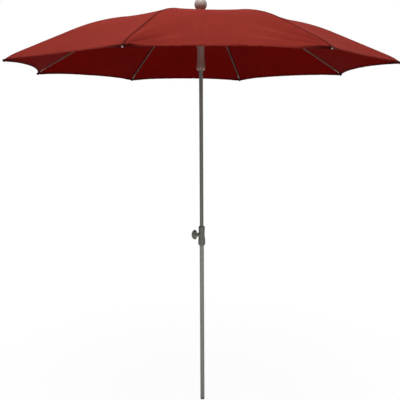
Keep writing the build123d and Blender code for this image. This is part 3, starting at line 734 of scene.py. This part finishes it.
# ---------------------------------------------------------------- the CAD nodes' finishes
node_finishes = {
    "lower_tube": "pole", "upper_tube": "upper_pole", "foot_plug": "black", "tube_guide": "black",
    "clamp_collar": "clamp", "clamp_knob": "clamp", "clamp_insert": "brass", "clamp_shoe": "black",
    "clamp_screw": "zinc", "crown": "hub", "crown_pins": "zinc", "catch_spring": "spring",
    "finial_stud": "zinc", "finial_ball": "ball", "finial_collar": "ball", "runner_sleeve": "runner",
    "runner_hub": "hub", "rib": "rib", "rib_rivet": "zinc", "tip_cap": "tip", "stretcher": "rib",
}


def finish_nodes():
    """Gives each rigid node its finish. The canopy's own nodes have none: cloth stands for them."""
    for name, node in frame["nodes"].items():
        kind = name.rstrip("12345678").rstrip("_")
        if kind not in node_finishes:
            continue
        finish = materials[node_finishes[kind]]
        if not node.data.materials:
            node.data.materials.append(finish)
        for index in range(len(node.data.materials)):
            node.data.materials[index] = finish


# ---------------------------------------------------------------- studio
FLOOR_REACH = 12.0
SHADE_SHARE = 0.03             # how much of the paper's own light shows round the pole's foot,
SHADE_FADE = (0.5, 1.6)        # fading to none between these distances from it
SKY_STRENGTH = 0.15
KEY_SOFTBOX = {"place": (-0.2, -1.2, 5.2), "aim": (0, -0.3, 1.7), "size": 1.8, "power": 120}
FRONT_SOFTBOX = {"place": (0.3, -3.2, 0.25), "aim": (0, 0, 0.2), "size": 1.0, "power": 28}
CAMERA_PLACE = (-0.0059, -2.5773, 1.5002)
CAMERA_TURN = (-0.0425, -9.3464, -0.2968)      # degrees to the right, up, and rolled
CAMERA_LENS = 46.846           # millimetres, on a sensor 36 mm wide


def white_to_camera(tree, shader, white):
    """The white shader for camera, glossy and transmission rays, and the given one for the light."""
    rays = add(tree, "ShaderNodeLightPath").outputs
    seen = add(tree, "ShaderNodeMath", {0: rays["Is Camera Ray"], 1: rays["Is Glossy Ray"]},
               operation="MAXIMUM")
    seen = add(tree, "ShaderNodeMath", {0: seen.outputs[0], 1: rays["Is Transmission Ray"]},
               operation="MAXIMUM")
    return add(tree, "ShaderNodeMixShader", {0: seen.outputs[0], 1: shader, 2: white}).outputs[0]


def studio_floor():
    """A pale floor that reads as white, and greys only where the umbrella's shade falls."""
    corners = [(x * FLOOR_REACH, y * FLOOR_REACH, 0) for x, y in ((-1, -1), (1, -1), (1, 1), (-1, 1))]
    floor = mesh_object("studio_floor", corners, [(0, 1, 2, 3)], smooth=False)
    material, tree = blank_material("studio_floor_paper")
    paper = add(tree, "ShaderNodeBsdfDiffuse", {"Color": linear("f2f2f2")})
    glow = add(tree, "ShaderNodeEmission", {"Color": (1, 1, 1, 1), "Strength": 1.0})
    place = add(tree, "ShaderNodeTexCoord").outputs["Object"]
    away = add(tree, "ShaderNodeVectorMath", {0: place}, operation="LENGTH")
    near, far = SHADE_FADE
    fade = add(tree, "ShaderNodeMapRange", {"Value": away.outputs["Value"], "From Min": near,
                                            "From Max": far, "To Min": 1 - SHADE_SHARE, "To Max": 1.0})
    seen = add(tree, "ShaderNodeMixShader",
               {0: fade.outputs["Result"], 1: paper.outputs[0], 2: glow.outputs[0]})
    surface = white_to_camera(tree, paper.outputs[0], seen.outputs[0])
    add(tree, "ShaderNodeOutputMaterial", {"Surface": surface})
    floor.data.materials.append(material)


def studio_world():
    """Even light from all round, and plain white behind the umbrella."""
    world = bpy.data.worlds.new("studio")
    world.use_nodes = True
    tree = world.node_tree
    tree.nodes.clear()
    lit = add(tree, "ShaderNodeBackground", {"Color": linear("ffffff"), "Strength": SKY_STRENGTH})
    white = add(tree, "ShaderNodeBackground", {"Color": (1, 1, 1, 1), "Strength": 1.0})
    surface = white_to_camera(tree, lit.outputs[0], white.outputs[0])
    add(tree, "ShaderNodeOutputWorld", {"Surface": surface})
    bpy.context.scene.world = world


def softbox(name, place, aim, size, power):
    """A square lamp that faces the point it is aimed at."""
    lamp = bpy.data.lights.new(name, "AREA")
    lamp.shape = "SQUARE"
    lamp.size = size
    lamp.energy = power
    lamp_object = bpy.data.objects.new(name, lamp)
    lamp_object.location = place
    direction = Vector(aim) - Vector(place)
    lamp_object.rotation_mode = "QUATERNION"
    lamp_object.rotation_quaternion = direction.to_track_quat("-Z", "Y")
    bpy.context.scene.collection.objects.link(lamp_object)


def camera():
    """Two and a half metres from the pole at chest height, looking slightly down."""
    yaw, pitch, roll = (math.radians(angle) for angle in CAMERA_TURN)
    forward = Vector((math.sin(yaw) * math.cos(pitch), math.cos(yaw) * math.cos(pitch), math.sin(pitch)))
    right = Vector((math.cos(yaw), -math.sin(yaw), 0))
    up = right.cross(forward)
    right, up = (right * math.cos(roll) + up * math.sin(roll),
                 up * math.cos(roll) - right * math.sin(roll))
    lens = bpy.data.cameras.new("camera")
    lens.lens = CAMERA_LENS
    lens.sensor_width = 36.0
    lens.clip_start = 0.05
    lens.clip_end = 60
    view = bpy.data.objects.new("camera", lens)
    turn = Matrix((right, up, -forward)).transposed()
    view.matrix_world = Matrix.Translation(CAMERA_PLACE) @ turn.to_4x4()
    bpy.context.scene.collection.objects.link(view)
    bpy.context.scene.camera = view


# ---------------------------------------------------------------- assembly
def dress_canopy():
    """Panels, sewing and pockets on the ribs, where the runner's slide folds them, and the disc."""
    tree = stitch_tree()
    for number in RIBS:
        faces_of_cloth = panel_faces(number)
        panel = canopy_panel(number, faces_of_cloth)
        sewing = panel_stitches(number, faces_of_cloth, tree)
        pocket = corner_pocket(number)
        for piece in (panel, sewing):
            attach(piece, f"rib_arm_{number}")
            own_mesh(piece)
        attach(pocket, f"rib_arm_{number}")
        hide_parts(f"canopy_panel_{number}")
    disc, disc_sewing = crown_disc(tree)
    for piece in (disc, disc_sewing):
        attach(piece, "upper_pole")
    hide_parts("canopy_patch")


bpy.context.scene.view_settings.view_transform = "Standard"
camera()
studio_world()
studio_floor()
softbox("key_softbox", **KEY_SOFTBOX)
softbox("front_softbox", **FRONT_SOFTBOX)
finish_nodes()
dress_canopy()
